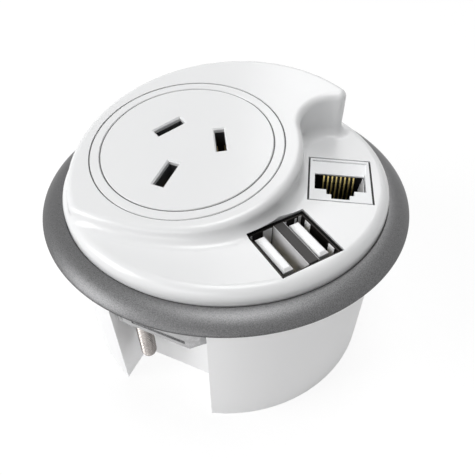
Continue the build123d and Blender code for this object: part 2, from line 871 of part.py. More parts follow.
write("bezel_ring", make_bezel_ring())
write("top_cover", make_top_cover())
write("socket_trim_ring", make_socket_trim_ring())
write("socket_face", make_socket_face())
write("socket_base", make_socket_base())
write("socket_screws", make_socket_screws())
for pin_name, pin_place in zip(("active", "neutral", "earth"), pin_frames()):
    write(f"{pin_name}_contact", make_contact(pin_place))
write("terminal_screws", make_terminal_screws())
write("jack_housing", make_jack_housing())
write("jack_insert", make_jack_insert())
write("jack_contacts", make_jack_contacts())
write("jack_terminal_block", make_jack_terminal_block())
write("usb_shell", make_usb_shell())
write("usb_carrier", make_usb_carrier())
write("usb_centre_web", make_usb_web())
write("usb_tongues", make_usb_tongues())
write("usb_contacts", make_usb_contacts())
write("port_retainer", make_port_retainer())
write("retainer_screws", make_retainer_screws())
write("charger_board", make_charger_board())
write("board_screws", make_board_screws())
write("charger_transformer", make_transformer())
write("charger_capacitors", make_capacitors())
write("body_housing", make_body_housing())
write("cover_screws", make_cover_screws())
write("base_plate", make_base_plate())
write("base_screws", make_base_screws())
write("cord_grommet", make_cord_grommet())
write("cord_clamp", make_cord_clamp())
write("cord_clamp_screws", make_cord_clamp_screws())
for side_name, turn in (("front", 0), ("rear", 180)):
    place = Rot(0, 0, turn)
    write(f"clamp_screw_{side_name}", place * make_clamp_screw())
    write(f"clamp_washer_{side_name}", place * make_clamp_washer())
    write(f"clamp_nut_{side_name}", place * make_clamp_nut())
    write(f"clamp_arm_{side_name}", place * make_clamp_arm())
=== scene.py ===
import bmesh
import bpy
import math
from mathutils import Matrix, Vector


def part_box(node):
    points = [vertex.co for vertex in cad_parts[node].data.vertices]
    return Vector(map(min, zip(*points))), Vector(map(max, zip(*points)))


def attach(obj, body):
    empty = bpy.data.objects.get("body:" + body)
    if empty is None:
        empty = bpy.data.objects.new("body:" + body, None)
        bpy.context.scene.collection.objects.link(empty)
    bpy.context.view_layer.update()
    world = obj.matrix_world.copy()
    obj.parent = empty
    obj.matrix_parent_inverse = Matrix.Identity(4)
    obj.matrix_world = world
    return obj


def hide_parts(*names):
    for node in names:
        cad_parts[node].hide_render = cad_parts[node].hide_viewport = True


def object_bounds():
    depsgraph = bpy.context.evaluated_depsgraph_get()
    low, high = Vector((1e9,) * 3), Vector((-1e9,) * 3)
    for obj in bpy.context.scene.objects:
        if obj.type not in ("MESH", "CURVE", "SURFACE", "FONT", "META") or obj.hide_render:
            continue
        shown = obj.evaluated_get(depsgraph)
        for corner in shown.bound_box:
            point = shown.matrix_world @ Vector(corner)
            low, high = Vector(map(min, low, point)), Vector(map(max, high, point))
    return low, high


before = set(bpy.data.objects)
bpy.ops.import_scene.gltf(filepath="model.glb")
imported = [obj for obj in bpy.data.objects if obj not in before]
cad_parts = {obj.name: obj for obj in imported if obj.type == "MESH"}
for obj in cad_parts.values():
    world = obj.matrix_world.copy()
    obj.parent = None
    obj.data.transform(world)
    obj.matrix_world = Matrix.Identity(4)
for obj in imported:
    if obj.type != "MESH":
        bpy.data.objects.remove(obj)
cad_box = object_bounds()

# Camera: in front and a little to the right of the module, looking down at about 45 degrees
# with a short lens, as for a catalogue picture taken close to the object.
catalogue_camera = bpy.data.cameras.new("catalogue_camera")
catalogue_camera.sensor_width = 36.0
catalogue_camera.lens = 36.59
catalogue_camera.clip_start = 0.005
camera = bpy.data.objects.new("catalogue_camera", catalogue_camera)
bpy.context.scene.collection.objects.link(camera)
camera_place = (0.041117, -0.086824, 0.077851)
camera_forward = Vector((-0.28484, 0.64888, -0.70556)).normalized()
camera_up = Vector((-0.28786, 0.64418, 0.70864)).normalized()
camera_right = camera_forward.cross(camera_up)
camera_turn = Matrix((camera_right, camera_up, -camera_forward)).transposed().to_4x4()
camera.matrix_world = Matrix.Translation(camera_place) @ camera_turn
bpy.context.scene.camera = camera

# Studio: a white table under the module, a white room, and four soft boxes. The key light
# hangs to the left and in front, so that walls which face right fall into grey.
bpy.context.scene.view_settings.view_transform = "Standard"
white = (1.0, 1.0, 1.0, 1.0)


def white_to_the_eye(tree, hidden_shader, seen_shader):
    """Shows one shader to the camera, to gloss and through glass, and the other otherwise."""
    path = tree.nodes.new("ShaderNodeLightPath")
    gloss = tree.nodes.new("ShaderNodeMath")
    gloss.operation = "MAXIMUM"
    tree.links.new(path.outputs["Is Camera Ray"], gloss.inputs[0])
    tree.links.new(path.outputs["Is Glossy Ray"], gloss.inputs[1])
    through = tree.nodes.new("ShaderNodeMath")
    through.operation = "MAXIMUM"
    tree.links.new(gloss.outputs[0], through.inputs[0])
    tree.links.new(path.outputs["Is Transmission Ray"], through.inputs[1])
    mix = tree.nodes.new("ShaderNodeMixShader")
    tree.links.new(through.outputs[0], mix.inputs["Fac"])
    tree.links.new(hidden_shader, mix.inputs[1])
    tree.links.new(seen_shader, mix.inputs[2])
    return mix.outputs[0]


room = bpy.data.worlds.new("white_room")
bpy.context.scene.world = room
room.use_nodes = True
room_tree = room.node_tree
room_light = room_tree.nodes["Background"]
room_light.inputs["Color"].default_value = white
room_light.inputs["Strength"].default_value = 0.02
room_seen = room_tree.nodes.new("ShaderNodeBackground")
room_seen.inputs["Color"].default_value = white
room_surface = white_to_the_eye(room_tree, room_light.outputs[0], room_seen.outputs[0])
room_tree.links.new(room_surface, room_tree.nodes["World Output"].inputs["Surface"])

table_half = 1.5
table_gap = 0.00005
table_height = cad_box[0][2] - table_gap
table_corners = ((-1, -1), (1, -1), (1, 1), (-1, 1))
table_mesh = bpy.data.meshes.new("table")
table_mesh.from_pydata(
    [(x * table_half, y * table_half, table_height) for x, y in table_corners], [], [(0, 1, 2, 3)]
)
table = bpy.data.objects.new("table", table_mesh)
bpy.context.scene.collection.objects.link(table)
table_white = bpy.data.materials.new("table_white")
table_white.use_nodes = True
table_tree = table_white.node_tree
paint = table_tree.nodes["Principled BSDF"]
paint.inputs["Base Color"].default_value = (0.75, 0.75, 0.75, 1.0)
paint.inputs["Roughness"].default_value = 0.9
paint.inputs["Emission Color"].default_value = white
paint.inputs["Emission Strength"].default_value = 0.36
glow = table_tree.nodes.new("ShaderNodeEmission")
glow.inputs["Color"].default_value = (0.88, 0.88, 0.88, 1.0)
shadow = table_tree.nodes.new("ShaderNodeBsdfDiffuse")
shadow.inputs["Color"].default_value = (0.16, 0.16, 0.16, 1.0)
table_seen = table_tree.nodes.new("ShaderNodeAddShader")
table_tree.links.new(glow.outputs[0], table_seen.inputs[0])
table_tree.links.new(shadow.outputs[0], table_seen.inputs[1])
table_surface = white_to_the_eye(table_tree, paint.outputs[0], table_seen.outputs[0])
table_tree.links.new(table_surface, table_tree.nodes["Material Output"].inputs["Surface"])
table_mesh.materials.append(table_white)


def soft_box(name, place, width, height, power):
    """A soft box that looks at the module from its place."""
    lamp = bpy.data.lights.new(name, "AREA")
    lamp.shape = "RECTANGLE"
    lamp.size = width
    lamp.size_y = height
    lamp.energy = power
    box = bpy.data.objects.new(name, lamp)
    bpy.context.scene.collection.objects.link(box)
    aim = (-Vector(place)).to_track_quat("-Z", "Y")
    box.matrix_world = Matrix.Translation(place) @ aim.to_matrix().to_4x4()


soft_box("left_front_box", (-0.70, -0.55, 0.50), 0.5, 0.5, 5.5)
soft_box("back_box", (-0.10, 0.85, 0.95), 0.6, 0.6, 3.2)
soft_box("top_box", (0.05, 0.05, 1.30), 0.6, 0.6, 7.3)
soft_box("front_box", (0.00, -0.90, 0.45), 0.6, 0.4, 1.7)


# Cover: one injection moulding in glossy white plastic, with a raised platform whose edge
# runs in an S round the socket. The mould leaves it smooth, with a faint orange peel.
def new_material(name):
    """A material with its tree and its place on the object, ready for noise."""
    material = bpy.data.materials.new(name)
    material.use_nodes = True
    place = material.node_tree.nodes.new("ShaderNodeTexCoord").outputs["Object"]
    return material, material.node_tree, place


def add_noise(tree, place, scale, detail):
    """Noise over the object, between 0 and 1."""
    noise = tree.nodes.new("ShaderNodeTexNoise")
    noise.inputs["Scale"].default_value = scale
    noise.inputs["Detail"].default_value = detail
    tree.links.new(place, noise.inputs["Vector"])
    return noise.outputs["Fac"]


def shade_by_noise(tree, noise, colours, edges, roughness):
    """The noise moves the colour and the roughness, each between two ends."""
    shader = tree.nodes["Principled BSDF"]
    shade = tree.nodes.new("ShaderNodeValToRGB")
    for end, colour, edge in zip((0, 1), colours, edges):
        shade.color_ramp.elements[end].color = (*colour, 1.0)
        shade.color_ramp.elements[end].position = edge
    tree.links.new(noise, shade.inputs["Fac"])
    tree.links.new(shade.outputs["Color"], shader.inputs["Base Color"])
    gloss = tree.nodes.new("ShaderNodeMapRange")
    gloss.inputs["To Min"].default_value = roughness[0]
    gloss.inputs["To Max"].default_value = roughness[1]
    tree.links.new(noise, gloss.inputs["Value"])
    tree.links.new(gloss.outputs["Result"], shader.inputs["Roughness"])


def raise_by_noise(tree, noise, depth):
    """The noise raises the surface by the depth of the real grain."""
    bump = tree.nodes.new("ShaderNodeBump")
    bump.inputs["Strength"].default_value = 1.0
    bump.inputs["Distance"].default_value = depth
    tree.links.new(noise, bump.inputs["Height"])
    tree.links.new(bump.outputs["Normal"], tree.nodes["Principled BSDF"].inputs["Normal"])


def moulded_plastic(name, colour, roughness, grain, depth, drift=0.012, specular=0.5):
    """Moulded plastic: slow drift of shade, uneven gloss and the grain of the mould."""
    plastic, tree, place = new_material(name)
    tree.nodes["Principled BSDF"].inputs["Specular IOR Level"].default_value = specular
    dark = [channel * (1.0 - drift) for channel in colour]
    cloud = add_noise(tree, place, scale=45.0, detail=3.0)
    gloss = (roughness - 0.04, roughness + 0.04)
    shade_by_noise(tree, cloud, (dark, colour), edges=(0.35, 0.65), roughness=gloss)
    raise_by_noise(tree, add_noise(tree, place, scale=grain, detail=4.0), depth)
    return plastic


def finish(node, material):
    """Gives a carried-over solid its surface."""
    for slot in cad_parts[node].material_slots:
        slot.material = material


cover_white = moulded_plastic("cover_white", (0.87, 0.875, 0.88), 0.24, 900.0, 0.0000015)
finish("top_cover", cover_white)

# Socket: a trim ring and a face disc in the same glossy white, let into the cover flush with
# it. The three slots have a fine chamfer where the plug's pins lead in.
face_white = moulded_plastic("face_white", (0.88, 0.885, 0.89), 0.22, 1100.0, 0.0000012)
finish("socket_trim_ring", face_white)
finish("socket_face", face_white)


# Pin guides: dark sleeves, drawn as part of the contact carrier, that line the slots below the
# face's edge. Their black is painted shade, so that a slot looks dark a little way in.
mm = 0.001
block_corners = (
    (0, 0, 0), (1, 0, 0), (1, 1, 0), (0, 1, 0), (0, 0, 1), (1, 0, 1), (1, 1, 1), (0, 1, 1)
)
block_faces = ((3, 2, 1, 0), (4, 5, 6, 7), (0, 1, 5, 4), (1, 2, 6, 5), (2, 3, 7, 6), (3, 0, 4, 7))


def add_block(shape, place, low, high):
    """Adds a closed block between two corners, given in millimetres at `place`."""
    corners = []
    for ends in block_corners:
        corner = Vector([(low, high)[end][axis] for axis, end in enumerate(ends)])
        corners.append(shape.verts.new(place @ (corner * mm)))
    for face in block_faces:
        shape.faces.new([corners[number] for number in face])


def add_sleeve(shape, place, half_x, half_y, wall, low, high):
    """Adds the four walls of a square sleeve, open at both ends."""
    for low_x, high_x, low_y, high_y in (
        (-half_x, -half_x + wall, -half_y, half_y),
        (half_x - wall, half_x, -half_y, half_y),
        (-half_x, half_x, half_y - wall, half_y),
        (-half_x, half_x, -half_y, -half_y + wall),
    ):
        add_block(shape, place, (low_x, low_y, low), (high_x, high_y, high))


def new_piece(name, shape, material):
    """Makes an object from a bmesh, at the origin."""
    mesh = bpy.data.meshes.new(name)
    shape.to_mesh(mesh)
    shape.free()
    mesh.materials.append(material)
    piece = bpy.data.objects.new(name, mesh)
    bpy.context.scene.collection.objects.link(piece)
    return piece


def fit(piece, body, node):
    """The piece rides on its body and, when a solid is named, stands in for it and hides it."""
    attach(piece, body)
    if node:
        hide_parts(node)


# Near-black for the sleeves: painted shade inside the slots.
slot_shade_black = moulded_plastic(
    "slot_shade_black", (0.06, 0.063, 0.066), 0.4, 900.0, 0.000003, drift=0.1, specular=0.2
)
socket_centre = (-0.0085, -0.0037, 0.0134)
socket_lean = math.radians(9.27)
socket_place = Matrix.Translation(socket_centre) @ Matrix.Rotation(socket_lean, 4, "X")
line_slot = (6.86, 3.96)
line_slot_lean = math.atan2(line_slot[1], line_slot[0])
line_slot_width = 2.4
earth_slot = (0.0, -10.31)
earth_slot_width = 2.7
slot_half_length = 3.75
guide_play = 0.01
guide_wall = 0.12
guide_low, guide_high = -4.6, -1.15
guides = bmesh.new()
for x, y, lean, width in (
    (-line_slot[0], line_slot[1], -line_slot_lean, line_slot_width),
    (line_slot[0], line_slot[1], line_slot_lean, line_slot_width),
    (*earth_slot, 0.0, earth_slot_width),
):
    slot_centre = Matrix.Translation((x * mm, y * mm, 0.0))
    slot_place = socket_place @ slot_centre @ Matrix.Rotation(lean, 4, "Z")
    half_width, half_length = width / 2 - guide_play, slot_half_length - guide_play
    add_sleeve(guides, slot_place, half_width, half_length, guide_wall, guide_low, guide_high)
pin_guides = new_piece("pin_guides", guides, slot_shade_black)
fit(pin_guides, "module", None)


# Behind the face: a dark moulding, screwed to the face, that holds the brass spring contacts.
# Each contact ends in a terminal block with a zinc-plated screw for the supply's wire.
def drawn_metal(name, colour, roughness, stretch, depth):
    """Bare metal with the fine lines of rolling or drawing along one direction."""
    metal, tree, place = new_material(name)
    tree.nodes["Principled BSDF"].inputs["Metallic"].default_value = 1.0
    drawing = tree.nodes.new("ShaderNodeMapping")
    drawing.inputs["Scale"].default_value = stretch
    tree.links.new(place, drawing.inputs["Vector"])
    lines = add_noise(tree, drawing.outputs["Vector"], scale=900.0, detail=5.0)
    dark = [channel * 0.82 for channel in colour]
    gloss = (roughness - 0.06, roughness + 0.08)
    shade_by_noise(tree, lines, (dark, colour), edges=(0.3, 0.7), roughness=gloss)
    raise_by_noise(tree, lines, depth)
    return metal


base_dark = moulded_plastic("base_dark", (0.03, 0.03, 0.032), 0.5, 700.0, 0.000004, drift=0.1)
finish("socket_base", base_dark)
contact_brass = drawn_metal("contact_brass", (0.70, 0.52, 0.24), 0.32, (1.0, 1.0, 0.15), 0.000002)
for contact in ("active_contact", "neutral_contact", "earth_contact"):
    finish(contact, contact_brass)
zinc_steel = drawn_metal("zinc_steel", (0.55, 0.53, 0.49), 0.38, (1.0, 1.0, 0.3), 0.000002)
for screws in ("terminal_screws", "socket_screws"):
    finish(screws, zinc_steel)


# Bezel: a turned aluminium ring, blasted and lacquered grey, so it sparkles finely. It lies on
# the desk, and its inner lip is held between the cover and the drum's collar.
def bake(piece):
    """Turns a piece's modifiers into plain mesh."""
    plain = bpy.data.meshes.new_from_object(
        piece.evaluated_get(bpy.context.evaluated_depsgraph_get())
    )
    piece.modifiers.clear()
    piece.data = plain


def start_tree(name, inputs):
    """A tree that takes a mesh and the named sizes, and gives back a mesh."""
    tree = bpy.data.node_groups.new(name, "GeometryNodeTree")
    tree.interface.new_socket("Geometry", in_out="INPUT", socket_type="NodeSocketGeometry")
    for label, kind in inputs:
        tree.interface.new_socket(label, in_out="INPUT", socket_type="NodeSocket" + kind)
    tree.interface.new_socket("Geometry", in_out="OUTPUT", socket_type="NodeSocketGeometry")
    return tree, tree.nodes.new("NodeGroupInput").outputs


def end_tree(tree, geometry, material):
    """Makes the copies real, gives them their material and hands them out."""
    real = tree.nodes.new("GeometryNodeRealizeInstances")
    tree.links.new(geometry, real.inputs["Geometry"])
    coat = tree.nodes.new("GeometryNodeSetMaterial")
    coat.inputs["Material"].default_value = material
    tree.links.new(real.outputs["Geometry"], coat.inputs["Geometry"])
    result = tree.nodes.new("NodeGroupOutput")
    tree.links.new(coat.outputs["Geometry"], result.inputs["Geometry"])
    return tree


def run_tree(piece, tree, sizes):
    """Runs a tree on a piece with the given sizes, and bakes what comes out."""
    run = piece.modifiers.new("run", "NODES")
    run.node_group = tree
    for item in tree.interface.items_tree:
        if item.item_type == "SOCKET" and item.in_out == "INPUT" and item.name in sizes:
            run[item.identifier] = sizes[item.name]
    bake(piece)


def turned_tree(name, material):
    """A tree that turns a section outline round the vertical axis, as on a lathe."""
    tree, sizes = start_tree(name, (("Path Radius", "Float"), ("Facets", "Int")))
    path = tree.nodes.new("GeometryNodeCurvePrimitiveCircle")
    tree.links.new(sizes["Path Radius"], path.inputs["Radius"])
    tree.links.new(sizes["Facets"], path.inputs["Resolution"])
    outline = tree.nodes.new("GeometryNodeMeshToCurve")
    tree.links.new(sizes["Geometry"], outline.inputs["Mesh"])
    turned = tree.nodes.new("GeometryNodeCurveToMesh")
    tree.links.new(path.outputs["Curve"], turned.inputs["Curve"])
    tree.links.new(outline.outputs["Curve"], turned.inputs["Profile Curve"])
    return end_tree(tree, turned.outputs["Mesh"], material)


turned_sharp = math.radians(40.0)


def turn_ring(name, outline, path_radius, facets, material):
    """A ring turned from (radius, height) points in millimetres."""
    mesh = bpy.data.meshes.new(name)
    points = [((radius - path_radius) * mm, -height * mm, 0.0) for radius, height in outline]
    count = len(points)
    mesh.from_pydata(points, [(n, (n + 1) % count) for n in range(count)], [])
    piece = bpy.data.objects.new(name, mesh)
    bpy.context.scene.collection.objects.link(piece)
    tree = turned_tree(name + "_turning", material)
    run_tree(piece, tree, {"Path Radius": path_radius * mm, "Facets": facets})
    shape = bmesh.new()
    shape.from_mesh(piece.data)
    bmesh.ops.recalc_face_normals(shape, faces=shape.faces)
    shape.to_mesh(piece.data)
    shape.free()
    piece.data.set_sharp_from_angle(angle=turned_sharp)
    return piece


bezel_grey, bezel_tree, bezel_place = new_material("bezel_grey")
bezel_tree.nodes["Principled BSDF"].inputs["Metallic"].default_value = 1.0
bezel_flake = add_noise(bezel_tree, bezel_place, scale=4800.0, detail=2.0)
bezel_greys = ((0.092, 0.092, 0.094), (0.158, 0.158, 0.16))
bezel_gloss = (0.34, 0.50)
shade_by_noise(bezel_tree, bezel_flake, bezel_greys, edges=(0.32, 0.68), roughness=bezel_gloss)
raise_by_noise(bezel_tree, bezel_flake, depth=0.000012)

bezel_outer, bezel_bore = 45.0, 39.6
bezel_top, bezel_edge = 2.9, 0.55
bezel_sag = (bezel_top - bezel_edge) * 0.22
bezel_round = 0.12
bezel_underside = 0.02
bezel_lip_bore, bezel_lip_top = 37.0, 1.2
bezel_groove_inner, bezel_groove_outer, bezel_groove_top = 40.5, 41.2, 0.4
shade_strip_rebate, shade_strip_top = 44.3, 0.26
dome_middle = ((bezel_outer + bezel_bore) / 2, bezel_top - bezel_sag)
dome_steps = 20
rim_foot = ((0.22, 0.0), (0.06, 0.05), (0.0, 0.16))
rim_break, rim_drop = 0.04, 0.03
bore_break = ((0.03, 0.05), (0.0, 0.13))
ring_facets = 256
bezel_path = 42.0


def dome_height(radius):
    """Height of the dome on the circle through its edge, its middle and its bore."""
    (x1, y1), (x2, y2), (x3, y3) = (bezel_outer, bezel_edge), dome_middle, (bezel_bore, bezel_top)
    d = 2 * (x1 * (y2 - y3) + x2 * (y3 - y1) + x3 * (y1 - y2))
    a, b, c = x1 * x1 + y1 * y1, x2 * x2 + y2 * y2, x3 * x3 + y3 * y3
    x = (a * (y2 - y3) + b * (y3 - y1) + c * (y1 - y2)) / d
    y = (a * (x3 - x2) + b * (x1 - x3) + c * (x2 - x1)) / d
    return y + math.sqrt((x1 - x) ** 2 + (y1 - y) ** 2 - (radius - x) ** 2)


dome_width = bezel_outer - bezel_bore - 2 * bezel_round
dome_radii = [
    bezel_outer - bezel_round - dome_width * n / dome_steps for n in range(dome_steps + 1)
]
rim = bezel_outer - rim_break
bezel_outline = (
    [(bezel_outer - inward, shade_strip_top + rise) for inward, rise in rim_foot]
    + [(bezel_outer, bezel_edge - bezel_round), (rim, dome_height(rim) - rim_drop)]
    + [(radius, dome_height(radius)) for radius in dome_radii]
    + [(bezel_bore + outward, bezel_top - drop) for outward, drop in bore_break]
    + [(bezel_bore, bezel_lip_top), (bezel_lip_bore, bezel_lip_top)]
    + [(bezel_lip_bore, bezel_underside), (bezel_groove_inner, bezel_underside)]
    + [(bezel_groove_inner, bezel_groove_top), (bezel_groove_outer, bezel_groove_top)]
    + [(bezel_groove_outer, bezel_underside), (shade_strip_rebate, bezel_underside)]
    + [(shade_strip_rebate, shade_strip_top)]
)
bezel = turn_ring("bezel", bezel_outline, bezel_path, ring_facets, bezel_grey)
fit(bezel, "module", "bezel_ring")

# Rim shade strip: a black strip in the rebate under the bezel's rim, painted shade. It lies
# on the desk and shows as the thin dark line of shade under the rim.
# Near-black for the strip: painted shade under the bezel's rim.
rim_shade_black = moulded_plastic("rim_shade_black", (0.012, 0.012, 0.013), 0.7, 1500.0, 0.00001, drift=0.2)
shade_strip_inner, shade_strip_outer = 44.32, 44.82
shade_strip_shoulder, shade_strip_thickness = 0.22, 0.25
shade_strip_round = 0.04
shade_strip_path = 44.5
shade_strip_outline = [
    (shade_strip_inner, 0.0),
    (shade_strip_outer - shade_strip_round, 0.0),
    (shade_strip_outer, shade_strip_round),
    (shade_strip_outer, shade_strip_shoulder),
    (shade_strip_outer - shade_strip_round, shade_strip_thickness),
    (shade_strip_inner, shade_strip_thickness),
]
edge_seal = turn_ring("edge_seal", shade_strip_outline, shade_strip_path, ring_facets, rim_shade_black)
fit(edge_seal, "module", None)

# Groove shade rings: grey rings at the bottom of the two fine grooves beside the trim ring,
# painted shade that darkens the grooves.
# Dark grey for the groove rings: painted shade in the grooves.
shade_ring_grey = moulded_plastic("shade_ring_grey", (0.10, 0.10, 0.102), 0.6, 1500.0, 0.000004, drift=0.1)
shade_ring_low, shade_ring_top = -1.5, -0.3
shade_ring_facets = 192
shade_ring_radii = ((20.46, 20.74), (22.96, 23.24))
for number, (inner, outer) in enumerate(shade_ring_radii):
    section = [(inner, shade_ring_low), (outer, shade_ring_low), (outer, shade_ring_top), (inner, shade_ring_top)]
    shade_ring = turn_ring(f"groove_gasket_{number}", section, inner, shade_ring_facets, shade_ring_grey)
    shade_ring.data.transform(socket_place)
    fit(shade_ring, "module", None)

# Housing: the drum that drops through the desk, moulded in white with a fine spark texture,
# closed below by a plate with a rubber bush for the cord.
drum_white = moulded_plastic("drum_white", (0.93, 0.93, 0.935), 0.5, 2600.0, 0.000006)
finish("body_housing", drum_white)
finish("base_plate", drum_white)
bush_rubber = moulded_plastic("bush_rubber", (0.02, 0.02, 0.021), 0.65, 1800.0, 0.00001, drift=0.2)
finish("cord_grommet", bush_rubber)
grey_plastic = moulded_plastic(
    "grey_plastic", (0.12, 0.12, 0.125), 0.5, 1200.0, 0.000006, drift=0.1
)
finish("cord_clamp", grey_plastic)
for screws in ("cover_screws", "cord_clamp_screws"):
    finish(screws, zinc_steel)

# Base screws: four pan-head screws of zinc-plated steel with a cross recess, sunk in the base
# plate's counterbores to hold it. One screw is made, and a tree sets it at each place.
screw_head_radius = 2.8
screw_head_low, screw_head_high = -42.0, -40.6
screw_crown = 0.55
screw_shank_radius = 1.5
screw_groove_depth = 0.28
screw_groove_pitch = 0.6
screw_end = -33.6
screw_facets = 32
recess_reach, recess_half, recess_depth = 1.35, 0.3, 0.8
recess_entry, recess_step = 0.5, 0.01
base_circle = 33.5
base_screw_azimuths = (30.0, 150.0, 210.0, 330.0)


def on_circle(radius, azimuth, height):
    """A point on a circle round the vertical axis, the azimuth in degrees."""
    turn = math.radians(azimuth)
    return (radius * math.cos(turn), radius * math.sin(turn), height)


def screw_outline():
    """Half section of the screw, from its head's crown up to its end."""
    crown = []
    for degrees in range(15, 91, 15):
        step = math.radians(degrees)
        rise = screw_crown * (1 - math.cos(step))
        crown.append((screw_head_radius * math.sin(step), screw_head_low + rise))
    shank = []
    z = screw_head_high
    while z < screw_end - screw_groove_pitch:
        shank.append((screw_shank_radius, z))
        shank.append((screw_shank_radius - screw_groove_depth, z + screw_groove_pitch / 2))
        z += screw_groove_pitch
    head_edge = [(screw_head_radius, screw_head_high)]
    return [(0.0, screw_head_low)] + crown + head_edge + shank + [(0.0, screw_end)]


def lathe(name, outline, facets, material):
    """A closed solid turned round the vertical axis from (radius, height) points."""
    shape = bmesh.new()
    rows = []
    for radius, z in outline:
        azimuths = [0.0] if radius == 0.0 else [360.0 * n / facets for n in range(facets)]
        rows.append([
            shape.verts.new(Vector(on_circle(radius, azimuth, z)) * mm) for azimuth in azimuths
        ])
    for lower, upper in zip(rows, rows[1:]):
        for here in range(facets):
            after = (here + 1) % facets
            if len(lower) == 1:
                shape.faces.new((lower[0], upper[after], upper[here]))
            elif len(upper) == 1:
                shape.faces.new((lower[here], lower[after], upper[0]))
            else:
                shape.faces.new((lower[here], lower[after], upper[after], upper[here]))
    bmesh.ops.recalc_face_normals(shape, faces=shape.faces)
    return new_piece(name, shape, material)


def cut_away(piece, blocks, crossing=False):
    """Cuts the blocks out of a piece. They are crossing when they run through each other."""
    cutter = new_piece("cutter", blocks, piece.data.materials[0])
    cut = piece.modifiers.new("cut", "BOOLEAN")
    cut.operation = "DIFFERENCE"
    cut.solver = "EXACT"
    cut.use_self = crossing
    cut.object = cutter
    bake(piece)
    bpy.data.objects.remove(cutter)


def scatter_tree(name, material):
    """A tree that sets one piece on every point of the mesh it is given."""
    tree, sizes = start_tree(name, (("Piece", "Object"),))
    source = tree.nodes.new("GeometryNodeObjectInfo")
    tree.links.new(sizes["Piece"], source.inputs["Object"])
    place = tree.nodes.new("GeometryNodeInstanceOnPoints")
    tree.links.new(sizes["Geometry"], place.inputs["Points"])
    tree.links.new(source.outputs["Geometry"], place.inputs["Instance"])
    return end_tree(tree, place.outputs["Instances"], material)


one_screw = lathe("one_screw", screw_outline(), screw_facets, zinc_steel)
cross = bmesh.new()
cross_low, cross_high = screw_head_low - recess_entry, screw_head_low + recess_depth
for reach_x, reach_y, floor in (
    (recess_reach, recess_half, cross_high),
    (recess_half, recess_reach, cross_high + recess_step),
):
    low, high = (-reach_x, -reach_y, cross_low), (reach_x, reach_y, floor)
    add_block(cross, Matrix.Identity(4), low, high)
cut_away(one_screw, cross, crossing=True)
places = [Vector(on_circle(base_circle, azimuth, 0.0)) * mm for azimuth in base_screw_azimuths]
base_mesh = bpy.data.meshes.new("base_screw_set")
base_mesh.from_pydata(places, [], [])
base_screw_set = bpy.data.objects.new("base_screw_set", base_mesh)
bpy.context.scene.collection.objects.link(base_screw_set)
run_tree(base_screw_set, scatter_tree("base_screw_places", zinc_steel), {"Piece": one_screw})
bpy.data.objects.remove(one_screw)
base_screw_set.data.shade_smooth()
base_screw_set.data.set_sharp_from_angle(angle=turned_sharp)
fit(base_screw_set, "module", "base_screws")


# Network jack: a white snap-in front with a sloped shelf over the opening. Black strips as the
# insert's side latches fill the gap left and right, also painted shade of that gap: two dark lines.
weld_distance = 0.000002
flat_angle = math.radians(0.5)


def fair_copy(node, name, material):
    """A merged copy of a solid, to be finished as a piece of its own."""
    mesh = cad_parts[node].data.copy()
    for attribute in ("custom_normal", "sharp_edge", "sharp_face"):
        if attribute in mesh.attributes:
            mesh.attributes.remove(mesh.attributes[attribute])
    shape = bmesh.new()
    shape.from_mesh(mesh)
    bmesh.ops.remove_doubles(shape, verts=shape.verts, dist=weld_distance)
    bmesh.ops.dissolve_limit(shape, angle_limit=flat_angle, verts=shape.verts, edges=shape.edges)
    return new_piece(name, shape, material)


def round_edges(piece, edge, smooth=35.0):
    """Rounds the edges that are sharper than `smooth` degrees, and shades the rest smooth."""
    piece.data.shade_smooth()
    rounding = piece.modifiers.new("rounding", "BEVEL")
    rounding.width = edge * mm
    rounding.segments = 2
    rounding.limit_method = "ANGLE"
    rounding.angle_limit = math.radians(smooth)
    rounding.harden_normals = True
    bake(piece)


jack_white = moulded_plastic("jack_white", (0.87, 0.88, 0.89), 0.3, 1000.0, 0.000002)
jack_black = moulded_plastic(
    "jack_black", (0.006, 0.006, 0.007), 0.35, 1400.0, 0.000004, drift=0.2, specular=0.2
)
deck_height = 0.00655
jack_centre = (0.0267, 0.0066, deck_height)
jack_turn = math.radians(16.5)
jack_place = Matrix.Translation(jack_centre) @ Matrix.Rotation(jack_turn, 4, "Z")
jack_front = fair_copy("jack_housing", "jack_front", jack_white)
round_edges(jack_front, edge=0.12)
fit(jack_front, "module", "jack_housing")
finish("jack_insert", jack_black)
finish("jack_terminal_block", jack_black)
# The strips' black is partly the insert's latches and partly painted shade in the gap.
latch_near, latch_far = 7.12, 7.40
latch_half_length = 7.95
latch_low, latch_top = -1.9, 0.015
latches_and_gap_shade = bmesh.new()
for left, right in ((-latch_far, -latch_near), (latch_near, latch_far)):
    low, high = (left, -latch_half_length, latch_low), (right, latch_half_length, latch_top)
    add_block(latches_and_gap_shade, jack_place, low, high)
side_latches_and_gap_shade = new_piece("jack_side_latches", latches_and_gap_shade, jack_black)
fit(side_latches_and_gap_shade, "module", None)

# Shield tab: a leaf of tinned sheet that leans in from the right wall of the opening and
# bears on the plug's side.
tab_tin = moulded_plastic("tab_tin", (0.84, 0.84, 0.85), 0.4, 1500.0, 0.000002, drift=0.1)
tab_bend = (0.00575, 0.0, -0.00122)
tab_lean = math.radians(9.0)
tab_place = jack_place @ Matrix.Translation(tab_bend) @ Matrix.Rotation(tab_lean, 4, "Y")
tab_low, tab_high = (-0.1, -3.95, -3.6), (0.05, 2.6, 0.0)
tab = bmesh.new()
add_block(tab, tab_place, tab_low, tab_high)
shield_tab = new_piece("jack_shield_tab", tab, tab_tin)
fit(shield_tab, "module", None)


